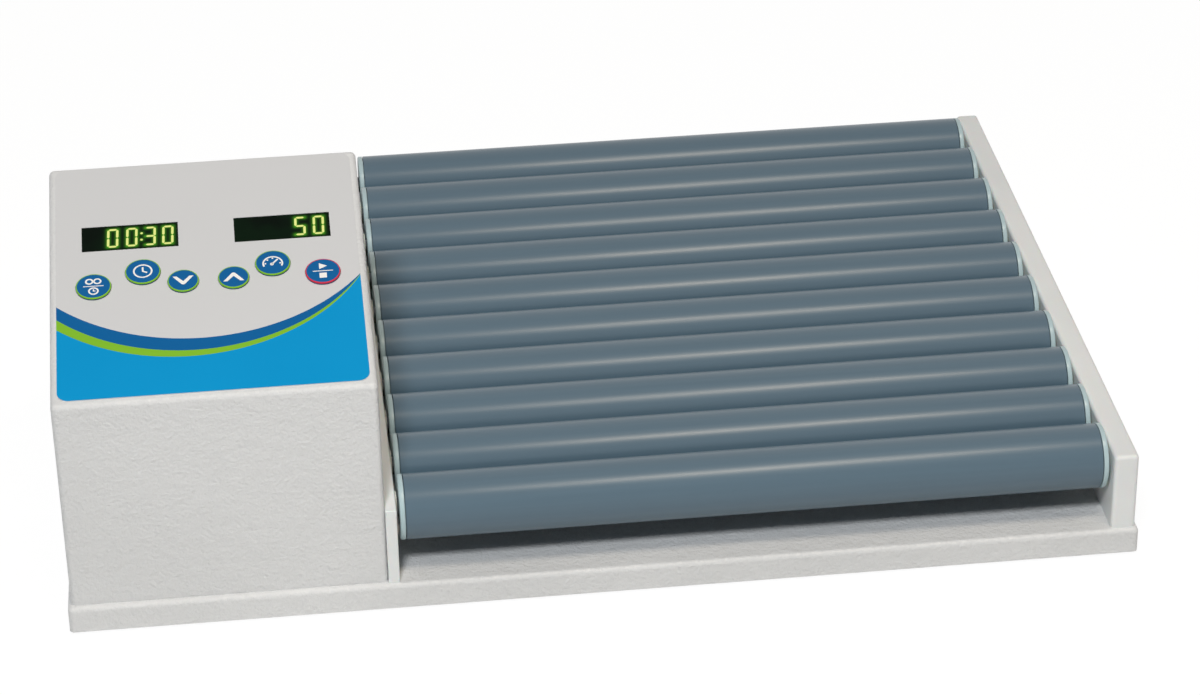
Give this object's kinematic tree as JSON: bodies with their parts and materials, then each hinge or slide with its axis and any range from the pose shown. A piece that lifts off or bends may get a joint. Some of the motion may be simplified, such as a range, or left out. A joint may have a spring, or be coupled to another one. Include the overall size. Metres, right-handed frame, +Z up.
{
  "type": "tube roller mixer",
  "caption": "Bench mixer that turns parallel driven rollers on a low tray to roll sample tubes, with a sloping control console at the left.",
  "frame": {"origin": "middle of the base's outline, on the surface that the feet stand on", "axes": "+X along the rollers, away from the console; -Y towards the operator; +Z up"},
  "size_m": [0.4756, 0.354, 0.1533],
  "materials": {
    "white_powder_coat": "fine textured powder coat, satin",
    "zinc_sheet": "zinc plated sheet",
    "black_rubber": "matt black rubber",
    "white_plate_plastic": "milled white polyethylene, satin",
    "nylon_bush": "natural nylon",
    "bright_screw": "nickel plated steel",
    "printed_overlay": "printed polyester film with a fine satin face",
    "dark_display": "dark window over green digits",
    "green_board": "solder mask",
    "motor_case": "machined and plated",
    "black_pulley": "moulded nylon",
    "black_moulding": "moulded black plastic",
    "blue_key": "printed key face with a coloured ring",
    "grey_roller_tube": "extruded slate-grey tube, glossy with fine lines along it",
    "pale_roller_end": "moulded pale blue-grey plastic"
  },
  "bodies": {
    "root": {"base_tray": "white_powder_coat", "bottom_pan": "zinc_sheet", "rubber_feet": "black_rubber", "left_end_plate": "white_plate_plastic", "right_end_plate": "white_plate_plastic", "axle_bushes": "nylon_bush", "pan_head_screws": "bright_screw", "cover_brackets": "zinc_sheet", "console_cover": "white_powder_coat", "drive_cover": "white_powder_coat", "rear_panel": "white_powder_coat", "control_panel": "printed_overlay", "time_display": "dark_display", "speed_display": "dark_display", "control_board": "green_board", "power_supply": "zinc_sheet", "drive_motor": "motor_case", "motor_bracket": "zinc_sheet", "motor_belt": "black_rubber", "roller_belts": "black_rubber", "power_inlet": "black_moulding"},
    "roller_01": {"roller_tube_01": "grey_roller_tube", "roller_drive_end_01": "pale_roller_end", "roller_idle_end_01": "pale_roller_end"},
    "roller_02": {"roller_tube_02": "grey_roller_tube", "roller_drive_end_02": "pale_roller_end", "roller_idle_end_02": "pale_roller_end"},
    "roller_03": {"roller_tube_03": "grey_roller_tube", "roller_drive_end_03": "pale_roller_end", "roller_idle_end_03": "pale_roller_end"},
    "roller_04": {"roller_tube_04": "grey_roller_tube", "roller_drive_end_04": "pale_roller_end", "roller_idle_end_04": "pale_roller_end"},
    "roller_05": {"roller_tube_05": "grey_roller_tube", "roller_drive_end_05": "pale_roller_end", "roller_idle_end_05": "pale_roller_end"},
    "roller_06": {"roller_tube_06": "grey_roller_tube", "roller_drive_end_06": "pale_roller_end", "roller_idle_end_06": "pale_roller_end"},
    "roller_07": {"roller_tube_07": "grey_roller_tube", "roller_drive_end_07": "pale_roller_end", "roller_idle_end_07": "pale_roller_end"},
    "roller_08": {"roller_tube_08": "grey_roller_tube", "roller_drive_end_08": "pale_roller_end", "roller_idle_end_08": "pale_roller_end"},
    "roller_09": {"roller_tube_09": "grey_roller_tube", "roller_drive_end_09": "pale_roller_end", "roller_idle_end_09": "pale_roller_end"},
    "roller_10": {"roller_tube_10": "grey_roller_tube", "roller_drive_end_10": "pale_roller_end", "roller_idle_end_10": "pale_roller_end"},
    "motor_drive": {"motor_shaft": "bright_screw", "motor_pulley": "black_pulley"},
    "key_timed_mode": {"key_timed_mode": "blue_key"},
    "key_time": {"key_time": "blue_key"},
    "key_down": {"key_down": "blue_key"},
    "key_up": {"key_up": "blue_key"},
    "key_speed": {"key_speed": "blue_key"},
    "key_start_stop": {"key_start_stop": "blue_key"},
    "rocker_switch": {"rocker_switch": "black_moulding"}
  },
  "joints": [
    {"name": "motor_turn", "type": "hinge", "parent": "root", "child": "motor_drive", "pos_m": [-0.11105, -0.1275, 0.076], "axis": [1, 0, 0], "continuous": true},
    {"name": "roller_01_turn", "type": "hinge", "parent": "root", "child": "roller_01", "pos_m": [0, -0.1575, 0.042], "axis": [1, 0, 0], "continuous": true},
    {"name": "roller_02_turn", "type": "hinge", "parent": "root", "child": "roller_02", "pos_m": [0, -0.1225, 0.042], "axis": [1, 0, 0], "continuous": true},
    {"name": "roller_03_turn", "type": "hinge", "parent": "root", "child": "roller_03", "pos_m": [0, -0.0875, 0.042], "axis": [1, 0, 0], "continuous": true},
    {"name": "roller_04_turn", "type": "hinge", "parent": "root", "child": "roller_04", "pos_m": [0, -0.0525, 0.042], "axis": [1, 0, 0], "continuous": true},
    {"name": "roller_05_turn", "type": "hinge", "parent": "root", "child": "roller_05", "pos_m": [0, -0.0175, 0.042], "axis": [1, 0, 0], "continuous": true},
    {"name": "roller_06_turn", "type": "hinge", "parent": "root", "child": "roller_06", "pos_m": [0, 0.0175, 0.042], "axis": [1, 0, 0], "continuous": true},
    {"name": "roller_07_turn", "type": "hinge", "parent": "root", "child": "roller_07", "pos_m": [0, 0.0525, 0.042], "axis": [1, 0, 0], "continuous": true},
    {"name": "roller_08_turn", "type": "hinge", "parent": "root", "child": "roller_08", "pos_m": [0, 0.0875, 0.042], "axis": [1, 0, 0], "continuous": true},
    {"name": "roller_09_turn", "type": "hinge", "parent": "root", "child": "roller_09", "pos_m": [0, 0.1225, 0.042], "axis": [1, 0, 0], "continuous": true},
    {"name": "roller_10_turn", "type": "hinge", "parent": "root", "child": "roller_10", "pos_m": [0, 0.1575, 0.042], "axis": [1, 0, 0], "continuous": true},
    {"name": "key_timed_mode_press", "type": "slide", "parent": "root", "child": "key_timed_mode", "axis": [0, 0.2588, -0.9659], "range_m": [0, 0.0005], "stiffness_N_per_m": 1000, "springref_m": -0.0003},
    {"name": "key_time_press", "type": "slide", "parent": "root", "child": "key_time", "axis": [0, 0.2588, -0.9659], "range_m": [0, 0.0005], "stiffness_N_per_m": 1000, "springref_m": -0.0003},
    {"name": "key_down_press", "type": "slide", "parent": "root", "child": "key_down", "axis": [0, 0.2588, -0.9659], "range_m": [0, 0.0005], "stiffness_N_per_m": 1000, "springref_m": -0.0003},
    {"name": "key_up_press", "type": "slide", "parent": "root", "child": "key_up", "axis": [0, 0.2588, -0.9659], "range_m": [0, 0.0005], "stiffness_N_per_m": 1000, "springref_m": -0.0003},
    {"name": "key_speed_press", "type": "slide", "parent": "root", "child": "key_speed", "axis": [0, 0.2588, -0.9659], "range_m": [0, 0.0005], "stiffness_N_per_m": 1000, "springref_m": -0.0003},
    {"name": "key_start_stop_press", "type": "slide", "parent": "root", "child": "key_start_stop", "axis": [0, 0.2588, -0.9659], "range_m": [0, 0.0005], "stiffness_N_per_m": 1000, "springref_m": -0.0003},
    {"name": "rocker_tilt", "type": "hinge", "parent": "root", "child": "rocker_switch", "pos_m": [-0.20885, 0.17, 0.034], "axis": [1, 0, 0], "range_deg": [0, 22]}
  ],
  "couplings": [
    {"joint": "roller_01_turn", "follows": "motor_turn", "ratio": 1},
    {"joint": "roller_02_turn", "follows": "motor_turn", "ratio": 1},
    {"joint": "roller_03_turn", "follows": "motor_turn", "ratio": 1},
    {"joint": "roller_04_turn", "follows": "motor_turn", "ratio": 1},
    {"joint": "roller_05_turn", "follows": "motor_turn", "ratio": 1},
    {"joint": "roller_06_turn", "follows": "motor_turn", "ratio": 1},
    {"joint": "roller_07_turn", "follows": "motor_turn", "ratio": 1},
    {"joint": "roller_08_turn", "follows": "motor_turn", "ratio": 1},
    {"joint": "roller_09_turn", "follows": "motor_turn", "ratio": 1},
    {"joint": "roller_10_turn", "follows": "motor_turn", "ratio": 1}
  ]
}
